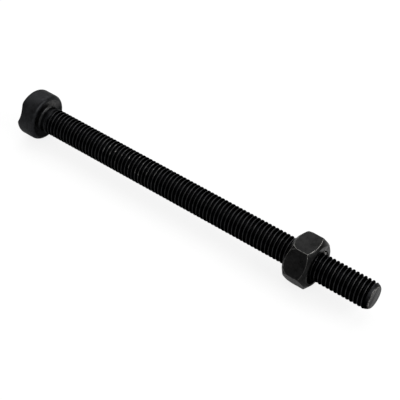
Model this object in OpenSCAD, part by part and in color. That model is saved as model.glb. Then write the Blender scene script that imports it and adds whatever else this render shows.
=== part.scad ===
// Guide pin: a long black threaded bolt with a plain round head and one hex nut near its tip.
// Millimetres. The axis is +X, from the head to the tip, and +Z is up as the pin lies on a table.
// The origin is on the axis, in the plane of the seat under the head.

/* [Thread] */
// Nominal diameter of the thread
thread_d = 10; // [8:0.5:12]
// Distance from one crest to the next
thread_pitch = 1.5; // [1:0.05:2]
// How far the crests stay under the nominal diameter
thread_allowance = 0.16; // [0.02:0.02:0.4]

/* [Shank] */
// Length from the seat under the head to the tip
shank_l = 140; // [80:1:220]
// Length of the plain neck under the head
neck_l = 2; // [1:0.25:8]
// How far the neck's wall lies inside the crests
neck_relief = 0.1; // [0.05:0.05:0.5]
// Radius of the fillet between neck and seat
neck_fillet = 0.8; // [0.2:0.1:1.4]
// Length of the chamfer at the tip
tip_chamfer_l = 1.2; // [0.4:0.1:3]
// How far the chamfer cuts in at the end face
tip_chamfer_w = 0.9; // [0.3:0.1:2]

/* [Head] */
// Diameter of the round head
head_d = 17.5; // [16:0.1:26]
// Height of the head from its seat
head_h = 7.9; // [6:0.1:16]
// Radius of the edge round the top of the head
top_round = 1.9; // [0.4:0.1:3]
// Radius of the edge round the seat
seat_round = 1.6; // [0.4:0.1:3]

/* [Groove across the top of the head] */
// Width of the groove at the top face
groove_w = 8.4; // [3:0.1:12]
// Depth of the groove in its middle
groove_depth = 2.1; // [0.4:0.1:3.5]
// Turn of the groove about the axis, from level
groove_turn = -26; // [-90:1:90]

/* [Nut] */
// Width across the flats
nut_af = 16.6; // [14:0.1:22]
// Height of the nut along the axis
nut_h = 9.4; // [7:0.1:14]
// Angle of the end chamfers from the nut's faces
nut_chamfer_angle = 39; // [20:1:50]
// How far the face towards the tip stops inside the flats
front_face_inset = 0.9; // [0.1:0.05:2]
// How far the face towards the head stops inside the flats
rear_face_inset = 1.15; // [0.1:0.05:2]
// How far the corners are worn down where they meet the chamfer towards the head
corner_taper_w = 0.5; // [0.05:0.05:0.9]
// Length over which those corners taper
corner_taper_l = 1.8; // [0.4:0.1:2.4]
// Width of the countersink round each mouth of the bore
countersink_w = 0.95; // [0.2:0.05:1.2]
// Angle of the countersinks, from side to side
countersink_angle = 110; // [60:5:140]
// Gap between the crests and the nut's bore
bore_clearance = 0.08; // [0.02:0.02:0.2]
// Length of thread that stands out past the nut
thread_past_nut = 21.8; // [2:0.1:60]

/* [Hidden] */
steel_black = "#1d1e20";
$fn = 96;

// Sixty-degree thread: flat crests, flat roots and straight flanks between them
flank_angle = 30;
sharp_h = thread_pitch / (2 * tan(flank_angle));
thread_depth = sharp_h * 17 / 24;
crest_flat = thread_pitch / 8;
flank_run = thread_depth * tan(flank_angle);
root_flat = thread_pitch - crest_flat - 2 * flank_run;
crest_r = (thread_d - thread_allowance) / 2;
root_r = crest_r - thread_depth;

neck_r = crest_r - neck_relief;
// The neck rises to the crests in a short cone, and the first groove starts one crest further on
thread_start = neck_l + neck_relief + crest_flat;
groove_count = floor((shank_l - thread_start) / thread_pitch);
// The shank reaches this far into the head
shank_root = head_h / 4;

head_r = head_d / 2;
groove_r = (pow(groove_w / 2, 2) + pow(groove_depth, 2)) / (2 * groove_depth);

bore_r = crest_r + bore_clearance;
mouth_r = bore_r + countersink_w;
countersink_depth = countersink_w / tan(countersink_angle / 2);
nut_corner_r = nut_af / sqrt(3);
nut_rear_x = shank_l - thread_past_nut - nut_h;
// The chamfer cones are cut this far past the corners
overcut = 0.4;

// Turns a half section, drawn as radius across and distance along, into a body round the X axis
module turned() {
    rotate([0, 90, 0])
        rotate_extrude()
            children();
}

// One groove of the thread, as points of the half section that starts at y
function groove_points(y) = [
    [crest_r, y],
    [root_r, y + flank_run],
    [root_r, y + flank_run + root_flat],
    [crest_r, y + 2 * flank_run + root_flat],
];

// Half section of the shank: neck, grooves at the pitch, and a square end
module threaded_section() {
    grooves = [for (i = [0 : groove_count - 1]) each groove_points(thread_start + i * thread_pitch)];
    polygon(concat(
        [
            [0, -shank_root],
            [neck_r, -shank_root],
            [neck_r, neck_l],
            [crest_r, neck_l + neck_relief],
        ],
        grooves,
        [
            [crest_r, shank_l],
            [0, shank_l],
        ]
    ));
}

// Half section that holds the shank in, with the chamfer of the tip
module tip_limit_section() {
    polygon([
        [0, -shank_root],
        [crest_r, -shank_root],
        [crest_r, shank_l - tip_chamfer_l],
        [crest_r - tip_chamfer_w, shank_l],
        [0, shank_l],
    ]);
}

// Half section of the head, with both edges rounded
module head_section() {
    translate([0, -head_h])
        square([head_r - top_round, head_h - seat_round]);
    translate([0, top_round - head_h])
        square([head_r, head_h - top_round - seat_round]);
    translate([0, -seat_round])
        square([head_r - seat_round, seat_round]);
    translate([head_r - top_round, top_round - head_h])
        circle(top_round);
    translate([head_r - seat_round, -seat_round])
        circle(seat_round);
}

// Half section of the fillet that leads from the neck out onto the seat
module neck_fillet_section() {
    difference() {
        translate([neck_r - neck_fillet, -shank_root])
            square([2 * neck_fillet, shank_root + neck_fillet]);
        translate([neck_r + neck_fillet, neck_fillet])
            circle(neck_fillet);
    }
}

// Bolt: head, neck and thread are one forged and rolled piece, with a round groove across the head
module guide_pin() {
    color(steel_black)
        difference() {
            union() {
                turned() head_section();
                turned() neck_fillet_section();
                intersection() {
                    turned() threaded_section();
                    turned() tip_limit_section();
                }
            }
            translate([groove_depth - head_h - groove_r, 0, 0])
                rotate([90 + groove_turn, 0, 0])
                    cylinder(r = groove_r, h = 2 * head_d, center = true);
        }
}

// Half section that cuts the corners of the nut's hexagon: a chamfer at both ends, and a taper at the rear
module nut_limit_section() {
    wide_r = nut_corner_r + overcut;
    rear_r = nut_af / 2 - rear_face_inset;
    front_r = nut_af / 2 - front_face_inset;
    taper_r = nut_corner_r - corner_taper_w;
    taper_x = (taper_r - rear_r) * tan(nut_chamfer_angle);
    polygon([
        [0, 0],
        [rear_r, 0],
        [taper_r, taper_x],
        [wide_r, taper_x + (wide_r - taper_r) * corner_taper_l / corner_taper_w],
        [wide_r, nut_h - (wide_r - front_r) * tan(nut_chamfer_angle)],
        [front_r, nut_h],
        [0, nut_h],
    ]);
}

// Half section of the bore, open at both ends through the countersinks
module bore_section() {
    polygon([
        [0, -overcut],
        [mouth_r, -overcut],
        [mouth_r, 0],
        [bore_r, countersink_depth],
        [bore_r, nut_h - countersink_depth],
        [mouth_r, nut_h],
        [mouth_r, nut_h + overcut],
        [0, nut_h + overcut],
    ]);
}

// Nut: a hexagon with a flat down, chamfered at both ends, on the thread near the tip
module hex_nut() {
    color(steel_black)
        translate([nut_rear_x, 0, 0])
            difference() {
                intersection() {
                    rotate([0, 90, 0])
                        rotate([0, 0, 30])
                            cylinder(r = nut_corner_r, h = nut_h, $fn = 6);
                    turned() nut_limit_section();
                }
                turned() bore_section();
            }
}

guide_pin();
hex_nut();
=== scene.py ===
import math

import bmesh
import bpy
from mathutils import Matrix, Vector, noise


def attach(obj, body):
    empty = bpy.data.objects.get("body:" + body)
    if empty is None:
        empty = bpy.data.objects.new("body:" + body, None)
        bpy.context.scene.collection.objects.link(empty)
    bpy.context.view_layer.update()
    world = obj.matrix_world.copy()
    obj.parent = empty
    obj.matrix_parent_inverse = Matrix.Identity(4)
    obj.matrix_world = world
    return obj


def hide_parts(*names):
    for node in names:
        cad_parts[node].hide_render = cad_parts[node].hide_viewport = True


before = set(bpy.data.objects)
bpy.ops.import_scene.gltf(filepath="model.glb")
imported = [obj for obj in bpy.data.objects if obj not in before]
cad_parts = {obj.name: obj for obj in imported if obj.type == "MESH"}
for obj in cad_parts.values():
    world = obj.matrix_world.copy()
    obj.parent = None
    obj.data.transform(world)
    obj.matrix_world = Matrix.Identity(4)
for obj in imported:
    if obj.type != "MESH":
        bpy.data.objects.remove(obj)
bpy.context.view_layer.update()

# Threaded shank of the pin: a steel rod with a right-hand 10 mm coarse thread rolled over its whole length.
# Rolling leaves smooth flanks and full round roots. The thread runs out into a short plain neck under the
# head, and the far end is sheared off square and chamfered. Pin and nut are drawn in millimetres.
pitch = 1.5
crest_radius = 4.92
root_radius = 4.2
neck_radius = 4.82
neck_end = 2.0
full_thread_from = 3.4
first_crest = 0.51 - pitch
shank_length = 140.0
tip_length = 2.1
tip_depth = 0.9
steps_a_turn = 64
# Half of one pitch of the thread, from the middle of a crest to the middle of a root, as (along, radius)
half_thread = [(0.0, crest_radius), (0.09, crest_radius), (0.15, 4.885), (0.38, 4.5), (0.53, 4.28),
               (0.63, 4.22), (0.75, root_radius)]


def screw_surface(bm, half_pitch, first, turns):
    """Sweeps one pitch of a thread up a right-hand helix for one turn, and repeats that turn."""
    outline = half_pitch + [(pitch - x, r) for x, r in reversed(half_pitch[:-1])]
    verts = [bm.verts.new((first + x, r, 0)) for x, r in outline]
    edges = [bm.edges.new(ends) for ends in zip(verts, verts[1:])]
    bmesh.ops.spin(bm, geom=verts + edges, axis=(1, 0, 0), cent=(0, 0, 0), angle=2 * math.pi,
                   steps=steps_a_turn, dvec=(pitch / steps_a_turn, 0, 0))
    made = 1
    while made < turns:
        copy = bmesh.ops.duplicate(bm, geom=bm.verts[:] + bm.edges[:] + bm.faces[:])["geom"]
        moved = [v for v in copy if isinstance(v, bmesh.types.BMVert)]
        bmesh.ops.translate(bm, vec=(made * pitch, 0, 0), verts=moved)
        made *= 2
    bmesh.ops.remove_doubles(bm, verts=bm.verts, dist=0.002)


def set_radius(vert, radius):
    """Moves a vertex straight in or out to the given distance from the axis."""
    scale = radius / math.hypot(vert.co.y, vert.co.z)
    vert.co.y *= scale
    vert.co.z *= scale


def cut_square(bm, x, keep):
    """Cuts the mesh at x, keeps the side that keep points to, and gives the edges of the cut."""
    bmesh.ops.bisect_plane(bm, geom=bm.verts[:] + bm.edges[:] + bm.faces[:], dist=1e-4,
                           plane_co=(x, 0, 0), plane_no=(-keep, 0, 0), clear_outer=True)
    return [e for e in bm.edges if e.is_boundary and all(abs(v.co.x - x) < 1e-3 for v in e.verts)]


def smooth_step(x, low, high):
    """Rises smoothly from 0 at low to 1 at high."""
    t = min(1.0, max(0.0, (x - low) / (high - low)))
    return t * t * (3 - 2 * t)


# Each face carries how far it is worn bright or painted with a highlight, cut bare or painted pale, painted
# with shade, or rough from forging
pin = bmesh.new()
worn = pin.faces.layers.float.new("worn")
cut_face_and_highlight = pin.faces.layers.float.new("cut_face_and_highlight")
painted_shade = pin.faces.layers.float.new("painted_shade")
forged = pin.faces.layers.float.new("forged")
screw_surface(pin, half_thread, first_crest, shank_length / pitch + 2)
crest_band = 0.04
root_band = 0.1
run_out = (shank_length - 1.9, shank_length - 1)
chamfer_from = shank_length - 1.5
rim_from = shank_length - 0.42
# Side of the crests that gets the rubbed glints and the painted highlight
wear_and_highlight_side = Vector((0, -0.5, 0.866))
wear_sets_in = (26, 34)
wear_fades = (46, 56)
rubbed_patch = 1.4
for f in pin.faces:
    middle = f.calc_center_median()
    x = middle.x
    radii = [math.hypot(v.co.y, v.co.z) for v in f.verts]
    threaded = smooth_step(x, neck_end, full_thread_from)
    threaded *= 1 - smooth_step(x, chamfer_from, shank_length - 0.9)
    facing = middle.dot(wear_and_highlight_side) / math.hypot(middle.y, middle.z)
    if min(radii) > crest_radius - crest_band:
        # Crests carry patchy rubbed glints along one stretch on one chosen side, a painted highlight on that
        # side, and painted shade away from it and underneath, growing towards the tip
        rubbed_glint = smooth_step(x, *wear_sets_in) * (1 - smooth_step(x, *wear_fades))
        rubbed_glint *= smooth_step(facing, 0.7, 0.85)
        rubbed_glint *= smooth_step(noise.noise(middle / rubbed_patch), 0.1, 0.45)
        f[worn] = (0.03 + 0.06 * smooth_step(facing, 0.9, 1) + 0.7 * rubbed_glint) * threaded
        f[painted_shade] = (0.2 * (1 - smooth_step(facing, 0.85, 0.97)) * threaded
                        + 0.4 * smooth_step(x, 0, 120) * smooth_step(-facing, -0.7, 0))
    elif max(radii) < root_radius + root_band:
        # Painted shade darkens the roots, a little less on the chosen side
        f[painted_shade] = (1 - 0.25 * smooth_step(facing, 0.9, 1)) * threaded
    else:
        # Painted shade darkens the flanks too
        f[painted_shade] = threaded
    # Painted shade on the tip's chamfer: none on top, darkest below the middle, a little less at the very
    # bottom
    if x > chamfer_from:
        f[painted_shade] = 1 - smooth_step(middle.z, 1, 4) - 0.6 * smooth_step(-middle.z, 2.5, 4.5)
for v in pin.verts:
    r = math.hypot(v.co.y, v.co.z)
    r += (neck_radius - r) * (1 - smooth_step(v.co.x, neck_end, full_thread_from))
    r += (crest_radius - r) * smooth_step(v.co.x, *run_out)
    into_tip = max(0.0, (v.co.x - shank_length) / tip_length + 1)
    set_radius(v, min(r, crest_radius - tip_depth * into_tip ** 1.5))
cut_square(pin, neck_end, 1)
# The end is rounded in three small steps, worn brighter towards the sheared face, with painted shade that
# also dulls their sheen
rim = cut_square(pin, rim_from, -1)
for x, inward, bright in ((shank_length - 0.2, 0.2, 0.15), (shank_length - 0.05, 0.16, 0.8),
                          (shank_length, 0.1, 0.9)):
    grown = bmesh.ops.extrude_edge_only(pin, edges=rim)["geom"]
    for v in (g for g in grown if isinstance(g, bmesh.types.BMVert)):
        v.co.x = x
        set_radius(v, math.hypot(v.co.y, v.co.z) - inward)
    rim = [g for g in grown if isinstance(g, bmesh.types.BMEdge)]
    for f in {f for e in rim for f in e.link_faces}:
        f[worn] = bright
        f[painted_shade] = 0.7
end_face = bmesh.ops.edgeloop_fill(pin, edges=rim)["faces"]
# The sheared face shows pale cut steel, and painted shade lowers its sheen
end_face[0][cut_face_and_highlight] = 1.0
end_face[0][painted_shade] = 0.5

# Head of the pin: a plain round forged head in one piece with the shank. A small fillet leads from the neck
# onto the seat, both outer edges are well rounded, and a shallow round-bottomed groove crosses the top.
head_radius = 8.75
head_height = 7.9
neck_fillet = 0.8
seat_round = 1.6
top_round = 1.9
groove_width = 8.4
groove_depth = 2.1
groove_softness = 0.3
groove_turn = math.radians(-26)
groove_cut_step = 0.35
groove_cuts_a_side = 14
grooved_height = 2.6
corners = [(neck_end - 0.3, neck_radius), (0, neck_radius), (0, head_radius), (-head_height, head_radius)]
head = bmesh.new()
profile = [head.verts.new((x, r, 0)) for x, r in corners + [(-head_height, 0)]]
for ends in zip(profile, profile[1:]):
    head.edges.new(ends)
for corner, radius, segments in ((1, neck_fillet, 6), (2, seat_round, 12), (3, top_round, 10)):
    bmesh.ops.bevel(head, geom=[profile[corner]], offset=radius, segments=segments, profile=0.5,
                    affect="VERTICES", material=-1)
top_line = [e for e in head.edges if all(abs(v.co.x + head_height) < 1e-4 for v in e.verts)]
bmesh.ops.subdivide_edges(head, edges=top_line, cuts=7)
bmesh.ops.spin(head, geom=head.verts[:] + head.edges[:], axis=(1, 0, 0), cent=(0, 0, 0),
               angle=2 * math.pi, steps=128, use_merge=True)
bmesh.ops.remove_doubles(head, verts=head.verts, dist=0.001)
groove_radius = (groove_width ** 2 / 4 + groove_depth ** 2) / (2 * groove_depth)
across_groove = Vector((0, -math.sin(groove_turn), math.cos(groove_turn)))
for k in range(-groove_cuts_a_side, groove_cuts_a_side + 1):
    top = [f for f in head.faces if f.calc_center_median().x < -head_height + grooved_height]
    top_parts = {g for f in top for g in [f, *f.edges, *f.verts]}
    bmesh.ops.bisect_plane(head, geom=list(top_parts), dist=1e-4, plane_no=across_groove,
                           plane_co=across_groove * (k * groove_cut_step))
for v in head.verts:
    if v.co.x < -head_height + grooved_height:
        aside = v.co.dot(across_groove)
        depth = math.sqrt(max(0.0, groove_radius ** 2 - aside * aside)) - (groove_radius - groove_depth)
        depth = (depth + math.hypot(depth, groove_softness)) / 2
        v.co.x = max(v.co.x, -head_height + min(depth, groove_depth))
head_mesh = bpy.data.meshes.new("forged_head")
head.to_mesh(head_mesh)
head.free()
pin.from_mesh(head_mesh)
bpy.data.meshes.remove(head_mesh)
open_edges = [e for e in pin.edges if e.is_boundary]
bmesh.ops.bridge_loops(pin, edges=open_edges)
bmesh.ops.recalc_face_normals(pin, faces=pin.faces)
# Seat, fillet and neck get a painted highlight on top and painted shade below, the neck painted shade all
# round; the rest of the head keeps its forged skin
for f in pin.faces:
    middle = f.calc_center_median()
    if -0.01 < middle.x < neck_end:
        on_top = smooth_step(middle.z, 0, 5)
        if abs(f.normal.x) > 0.99:
            f[worn] = 0.12 * on_top
            f[painted_shade] = 0.5 * (1 - on_top)
        elif middle.x < neck_fillet:
            f[worn] = 0.08 * on_top
            f[painted_shade] = 0.5 * (1 - on_top)
        else:
            f[painted_shade] = 0.6
    elif middle.x < 0:
        f[forged] = 1.0 if middle.x < -seat_round else 0.35


def to_linear(hex_colour):
    """Turns an sRGB hex colour into the linear colour that the shader takes."""
    parts = [int(hex_colour[k:k + 2], 16) / 255 for k in (1, 3, 5)]
    return [c / 12.92 if c <= 0.04045 else ((c + 0.055) / 1.055) ** 2.4 for c in parts] + [1.0]


def add_node(tree, kind, settings=None, **links):
    """Adds a node, sets its properties and inputs, and links other nodes' outputs to its inputs."""
    node = tree.nodes.new(kind)
    for name, value in (settings or {}).items():
        if isinstance(name, str) and hasattr(node, name):
            setattr(node, name, value)
        else:
            node.inputs[name].default_value = value
    for name, output in links.items():
        key = int(name[1:]) if name[0] == "_" else name.replace("_", " ")
        tree.links.new(output, node.inputs[key])
    return node


def black_oxide_steel(name, oxide, bare):
    """Black oxide on steel: a thin conversion coat that keeps the metal's sheen but reflects little.
    The eye gets a satin near-black, cloudy where the bath took unevenly, bright metal on worn edges and where
    highlights are painted, and near-black where shade is painted."""
    material = bpy.data.materials.new(name)
    material.use_nodes = True
    tree = material.node_tree
    tree.nodes.clear()
    out = add_node(tree, "ShaderNodeOutputMaterial")
    place = add_node(tree, "ShaderNodeTexCoord").outputs["Object"]
    # Clouds of the oxide bath about 3 mm across, with finer specks, in texture cells to the metre
    clouds = add_node(tree, "ShaderNodeTexNoise", {"Scale": 1 / 0.003, "Detail": 4.0, "Roughness": 0.85},
                      Vector=place)
    tone = add_node(tree, "ShaderNodeMapRange", {"From Min": 0.32, "From Max": 0.68},
                    Value=clouds.outputs["Fac"])
    coat = add_node(tree, "ShaderNodeMix",
                    {"data_type": "RGBA", 6: to_linear(oxide[0]), 7: to_linear(oxide[1])},
                    _0=tone.outputs["Result"])
    # A cut face shows paler steel, with the straight marks of the cut about 1.2 mm apart
    marks = add_node(tree, "ShaderNodeMapping",
                     {"vector_type": "TEXTURE", "Rotation": (math.radians(-50), 0, 0),
                      "Scale": (0.002, 0.0012, 0.012)}, Vector=place)
    streaks = add_node(tree, "ShaderNodeTexNoise", {"Scale": 1.0, "Detail": 2.0},
                       Vector=marks.outputs["Vector"])
    streak = add_node(tree, "ShaderNodeMapRange", {"From Min": 0.4, "From Max": 0.6},
                      Value=streaks.outputs["Fac"])
    shear = add_node(tree, "ShaderNodeMix",
                     {"data_type": "RGBA", 6: to_linear("#363636"), 7: to_linear("#6e6e6e")},
                     _0=streak.outputs["Result"])
    # Painted shade: the coat is darkened to near black in the thread, in the bore and wherever shade is
    # painted
    painted_shade_mask = add_node(tree, "ShaderNodeAttribute", {"attribute_name": "painted_shade"}).outputs["Fac"]
    coat = add_node(tree, "ShaderNodeMix", {"data_type": "RGBA", 7: to_linear("#050506")},
                    _0=painted_shade_mask, _6=coat.outputs[2])
    # Cut faces show the paler steel; on the nut's end faces this is also a painted highlight, paler on top
    cut_face_and_highlight_mask = add_node(tree, "ShaderNodeAttribute", {"attribute_name": "cut_face_and_highlight"}).outputs["Fac"]
    skin = add_node(tree, "ShaderNodeMix", {"data_type": "RGBA"},
                    _0=cut_face_and_highlight_mask, _6=coat.outputs[2], _7=shear.outputs[2])
    # Wear and painted highlights come and go every millimetre or so
    patches = add_node(tree, "ShaderNodeTexNoise", {"Scale": 1 / 0.0009, "Detail": 3.0, "Roughness": 0.75},
                       Vector=place)
    wear_and_highlight_mask = add_node(tree, "ShaderNodeAttribute", {"attribute_name": "worn"}).outputs["Fac"]
    patch = add_node(tree, "ShaderNodeMapRange", {"From Min": 0.36, "From Max": 0.66},
                     Value=patches.outputs["Fac"])
    bare_and_highlight = add_node(tree, "ShaderNodeMath", {"operation": "MULTIPLY"}, _0=wear_and_highlight_mask, _1=patch.outputs["Result"])
    colour = add_node(tree, "ShaderNodeMix", {"data_type": "RGBA", 7: to_linear(bare)},
                      _0=bare_and_highlight.outputs[0], _6=skin.outputs[2])
    rough = add_node(tree, "ShaderNodeMapRange",
                     {"From Min": 0.3, "From Max": 0.7, "To Min": 0.24, "To Max": 0.37},
                     Value=clouds.outputs["Fac"])
    # The forged head is rougher than the rolled thread
    forged_skin = add_node(tree, "ShaderNodeAttribute", {"attribute_name": "forged"}).outputs["Fac"]
    rough = add_node(tree, "ShaderNodeMath", {"operation": "MULTIPLY_ADD", 1: 0.22},
                     _0=forged_skin, _2=rough.outputs[0])
    # Where shade is painted, the sheen at glancing angles is painted lower too
    sheen = add_node(tree, "ShaderNodeMix",
                     {"data_type": "RGBA", 6: to_linear("#e4e4e4"), 7: to_linear("#909090")}, _0=painted_shade_mask)
    # Grain of the rolled and forged skin, about 0.25 mm
    grain = add_node(tree, "ShaderNodeTexNoise", {"Scale": 1 / 0.00025, "Detail": 2.0}, Vector=place)
    bump = add_node(tree, "ShaderNodeBump", {"Strength": 0.12, "Distance": 0.00003},
                    Height=grain.outputs["Fac"])
    shader = add_node(tree, "ShaderNodeBsdfPrincipled", {"Metallic": 1.0}, Base_Color=colour.outputs[2],
                      Roughness=rough.outputs[0], Specular_Tint=sheen.outputs[2],
                      Normal=bump.outputs["Normal"])
    tree.links.new(shader.outputs[0], out.inputs["Surface"])
    return material


def finish_piece(bm, name, material, smooth_to):
    """Takes a mesh from millimetres to metres and makes the object, smooth up to the given angle."""
    bmesh.ops.scale(bm, vec=(0.001, 0.001, 0.001), verts=bm.verts)
    mesh = bpy.data.meshes.new(name)
    bm.to_mesh(mesh)
    bm.free()
    mesh.shade_smooth()
    mesh.set_sharp_from_angle(angle=math.radians(smooth_to))
    mesh.materials.append(material)
    piece = bpy.data.objects.new(name, mesh)
    bpy.context.scene.collection.objects.link(piece)
    return piece


pin_steel = black_oxide_steel("black_oxide_bolt_steel", ("#1f1f20", "#343537"), "#c4c2be")
pin_piece = finish_piece(pin, "threaded_pin", pin_steel, 40)
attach(pin_piece, "pin")
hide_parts("guide_pin")

# Hexagon nut: a tall pressed steel nut with the same black finish, run onto the thread near the tip.
# Both ends are chamfered, the corners towards the head are worn to a taper, the bore is tapped and
# countersunk at both mouths, and the edges show bright worn metal with a painted highlight on top.
nut_flats = 16.6
nut_rear = 108.8
nut_front = 118.2
nut_chamfer = math.tan(math.radians(39))
front_face_radius = nut_flats / 2 - 0.9
rear_face_radius = nut_flats / 2 - 1.15
taper_radius = nut_flats / math.sqrt(3) - 0.5
taper_slope = 1.8 / 0.5
mouth_radius = 5.95
mouth_slope = math.tan(math.radians(55))
# Radius of a ring round the front mouth that carries painted shade
shaded_ring_radius = 6.5
mouth_rim = 0.1
slack = 0.02
columns = 96
edge_bevel = 0.07
# Half of one pitch of the tapped thread, clear of the pin's, as (along, radius)
half_nut_thread = [(0.0, 5.1), (0.12, 5.1), (0.36, 4.7), (0.57, 4.33), (0.75, 4.33)]


def hexagon_radius(angle):
    """Distance from the axis to the nut's flats at an angle round it."""
    return nut_flats / 2 / math.cos(angle % (math.pi / 3) - math.pi / 6)


def rear_chamfer_x(radius):
    """Where the chamfer and the corner taper towards the head lie at a radius."""
    on_chamfer = max(0.0, min(radius, taper_radius) - rear_face_radius) * nut_chamfer
    return nut_rear + on_chamfer + max(0.0, radius - taper_radius) * taper_slope


def draw_out(bm, ring, radius_at, x_at):
    """Extrudes a closed ring of edges and sets each new vertex by its angle round the axis."""
    grown = bmesh.ops.extrude_edge_only(bm, edges=ring)["geom"]
    for v in (g for g in grown if isinstance(g, bmesh.types.BMVert)):
        angle = math.atan2(v.co.z, v.co.y)
        r = radius_at(angle)
        v.co = (x_at(r), r * math.cos(angle), r * math.sin(angle))
    return [g for g in grown if isinstance(g, bmesh.types.BMEdge)]


nut = bmesh.new()
nut_worn = nut.faces.layers.float.new("worn")
nut_cut_face_and_highlight = nut.faces.layers.float.new("cut_face_and_highlight")
nut_painted_shade = nut.faces.layers.float.new("painted_shade")
turns_before = math.floor((nut_rear - first_crest) / pitch) - 2
screw_surface(nut, half_nut_thread, first_crest + turns_before * pitch, 12)
for v in nut.verts:
    inside = max(0.0, min(v.co.x - nut_rear, nut_front - v.co.x))
    set_radius(v, max(math.hypot(v.co.y, v.co.z), mouth_radius - inside * mouth_slope))
bore_rear = cut_square(nut, nut_rear, 1)
bore_front = cut_square(nut, nut_front, -1)
first_ring = bmesh.ops.create_circle(nut, segments=columns, radius=mouth_radius + mouth_rim)["verts"]
bmesh.ops.rotate(nut, cent=(0, 0, 0), matrix=Matrix.Rotation(math.pi / 2, 3, "Y"), verts=first_ring)
bmesh.ops.translate(nut, vec=(nut_front, 0, 0), verts=first_ring)
front_mouth = list({e for v in first_ring for e in v.link_edges})
shaded_ring_edge = draw_out(nut, front_mouth, lambda a: shaded_ring_radius, lambda r: nut_front)
front_edge = draw_out(nut, shaded_ring_edge, lambda a: front_face_radius, lambda r: nut_front)
front_arc = draw_out(nut, front_edge, hexagon_radius,
                     lambda r: nut_front - (r - front_face_radius) * nut_chamfer)
rear_arc = draw_out(nut, front_arc, hexagon_radius, rear_chamfer_x)
taper_ring = draw_out(nut, rear_arc, lambda a: min(hexagon_radius(a), taper_radius), rear_chamfer_x)
rear_edge = draw_out(nut, taper_ring, lambda a: rear_face_radius, lambda r: nut_rear)
rear_mouth = draw_out(nut, rear_edge, lambda a: mouth_radius + mouth_rim, lambda r: nut_rear)
bmesh.ops.bridge_loops(nut, edges=bore_front + front_mouth)
bmesh.ops.bridge_loops(nut, edges=bore_rear + rear_mouth)
bmesh.ops.remove_doubles(nut, verts=nut.verts, dist=0.003)
bmesh.ops.recalc_face_normals(nut, faces=nut.faces)
# Painted shade darkens the bore but for a painted glint at its front; the end faces get a painted highlight
# on top and painted shade around the mouth and below
for f in nut.faces:
    middle = f.calc_center_median()
    radii = [math.hypot(v.co.y, v.co.z) for v in f.verts]
    if max(radii) < mouth_radius + slack:
        angle = math.degrees(math.atan2(middle.z, middle.y))
        painted_glint = middle.x > nut_front - 1.2 and 10 < angle < 50 and max(radii) < mouth_radius - 0.3
        f[nut_worn if painted_glint else nut_painted_shade] = 1.0
    elif max(radii) < mouth_radius + 0.15:
        f[nut_worn] = 0.8 * smooth_step(middle.z, 0, 4)
        f[nut_painted_shade] = 1 - smooth_step(middle.z, -1, 3)
    elif max(radii) < shaded_ring_radius + slack:
        f[nut_cut_face_and_highlight] = 0.6 * smooth_step(middle.z, -2, 4)
        f[nut_painted_shade] = 1 - smooth_step(middle.z, -1, 3)
    elif max(radii) < front_face_radius + slack:
        f[nut_cut_face_and_highlight] = 0.1 + 0.5 * smooth_step(middle.z, -2, 4)
        f[nut_painted_shade] = 0.4 * (1 - smooth_step(middle.z, -4, 2))
sharp = []
for e in nut.edges:
    radii = [math.hypot(v.co.y, v.co.z) for v in e.verts]
    outside = min(radii) > rear_face_radius + 0.3 and len(e.link_faces) == 2
    if outside and e.calc_face_angle() > math.radians(8):
        sharp.append(e)
worn_faces = bmesh.ops.bevel(nut, geom=sharp, offset=edge_bevel, segments=2, profile=0.5, affect="EDGES",
                             material=-1, clamp_overlap=True)["faces"]
# The bevelled edges show worn bright metal, painted brighter on top, most on the front edges
for f in worn_faces:
    middle = f.calc_center_median()
    on_top = smooth_step(middle.z, 4, 8)
    f[nut_worn] = 0.2 + 0.7 * on_top if middle.x > nut_front - 2.5 else 0.3 + 0.2 * on_top

nut_steel = black_oxide_steel("black_oxide_nut_steel", ("#181818", "#292929"), "#d2d0cc")
nut_piece = finish_piece(nut, "hexagon_nut", nut_steel, 25)
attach(nut_piece, "nut")
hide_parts("hex_nut")

# Floor: a plain white table of matt laminate that the pin lies on, resting on the head's rim, with its edge
# swept up all round into a backdrop. It is white to the camera and pale in reflections, and it darkens only
# where the pin shades it. Floor, lights and camera are placed in metres.
part_middle = 0.07
table_radius = 4.0
sweep_radius = 1.5
sweep_steps = 12
floor = bmesh.new()
rises = [k * math.pi / 2 / sweep_steps for k in range(sweep_steps + 1)]
sweep = [(table_radius + sweep_radius * math.sin(rise), sweep_radius * (1 - math.cos(rise)))
         for rise in rises]
floor_line = [floor.verts.new((r, 0, z)) for r, z in [(0, 0)] + sweep]
for ends in zip(floor_line, floor_line[1:]):
    floor.edges.new(ends)
bmesh.ops.spin(floor, geom=floor.verts[:] + floor.edges[:], axis=(0, 0, 1), cent=(0, 0, 0),
               angle=2 * math.pi, steps=96, use_merge=True)
bmesh.ops.remove_doubles(floor, verts=floor.verts, dist=0.0001)
bmesh.ops.translate(floor, vec=(part_middle, 0, -0.001 * head_radius), verts=floor.verts)
floor_mesh = bpy.data.meshes.new("white_table")
floor.to_mesh(floor_mesh)
floor.free()
floor_mesh.shade_smooth()
floor_piece = bpy.data.objects.new("white_table", floor_mesh)
bpy.context.scene.collection.objects.link(floor_piece)
table_top = bpy.data.materials.new("matt_white_laminate")
table_top.use_nodes = True
tree = table_top.node_tree
tree.nodes.clear()
path = add_node(tree, "ShaderNodeLightPath")
mirrored = add_node(tree, "ShaderNodeMath", {"operation": "MAXIMUM"}, _0=path.outputs["Is Glossy Ray"],
                    _1=path.outputs["Is Transmission Ray"])
surface = add_node(tree, "ShaderNodeBsdfDiffuse", {"Color": to_linear("#e4e4e4")})
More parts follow.
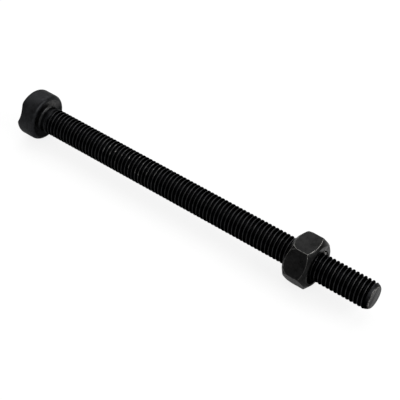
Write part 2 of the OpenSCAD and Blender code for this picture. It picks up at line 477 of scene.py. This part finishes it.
for seen, tone, strength in ((mirrored.outputs[0], "#d8d8d8", 0.12),
                             (path.outputs["Is Camera Ray"], "#808080", 0.84)):
    shaded = add_node(tree, "ShaderNodeBsdfDiffuse", {"Color": to_linear(tone)})
    glow = add_node(tree, "ShaderNodeEmission", {"Color": to_linear("#ffffff"), "Strength": strength})
    white = add_node(tree, "ShaderNodeAddShader", _0=shaded.outputs[0], _1=glow.outputs[0])
    surface = add_node(tree, "ShaderNodeMixShader", _0=seen, _1=surface.outputs[0], _2=white.outputs[0])
add_node(tree, "ShaderNodeOutputMaterial", Surface=surface.outputs[0])
floor_mesh.materials.append(table_top)

# Studio light: a large soft box above and behind the pin, a narrow one high beyond the tip, and an even,
# dim room all round. Both boxes point at the middle of the pin.
world = bpy.data.worlds.new("studio_room")
world.use_nodes = True
bpy.context.scene.world = world
world.node_tree.nodes["Background"].inputs["Color"].default_value = (1, 1, 1, 1)
world.node_tree.nodes["Background"].inputs["Strength"].default_value = 0.42
for name, place, size, watts in (("rear_soft_box", (-0.25, 0.6, 0.85), (1.6, 1.2), 7.6),
                                 ("side_soft_box", (0.9, 0.12, 0.62), (0.9, 0.35), 4.2)):
    box = bpy.data.lights.new(name, "AREA")
    box.shape = "RECTANGLE"
    box.size, box.size_y = size
    box.energy = watts
    box_object = bpy.data.objects.new(name, box)
    box_object.location = place
    aim = Vector((part_middle, 0, 0)) - box_object.location
    box_object.rotation_euler = aim.to_track_quat("-Z", "Y").to_euler()
    bpy.context.scene.collection.objects.link(box_object)

# Camera: a long lens from the tip's side, as far above the table as in the photograph, rolled very slightly.
azimuth, elevation, roll = math.radians(35.585), math.radians(43.97), math.radians(2.307)
camera = bpy.data.cameras.new("camera")
camera.lens = 111.64
camera.sensor_width = 36.0
camera.clip_start, camera.clip_end = 0.01, 20.0
camera_object = bpy.data.objects.new("camera", camera)
turn = (Matrix.Rotation(azimuth, 4, "Z") @ Matrix.Rotation(math.pi / 2 - elevation, 4, "X")
        @ Matrix.Rotation(roll, 4, "Z"))
target = Vector((0.069567, 0.000412, 0.000345))
distance = 0.42512
camera_object.matrix_world = Matrix.Translation(target + turn.to_3x3() @ Vector((0, 0, distance))) @ turn
bpy.context.scene.collection.objects.link(camera_object)
bpy.context.scene.camera = camera_object
bpy.context.scene.view_settings.view_transform = "Standard"
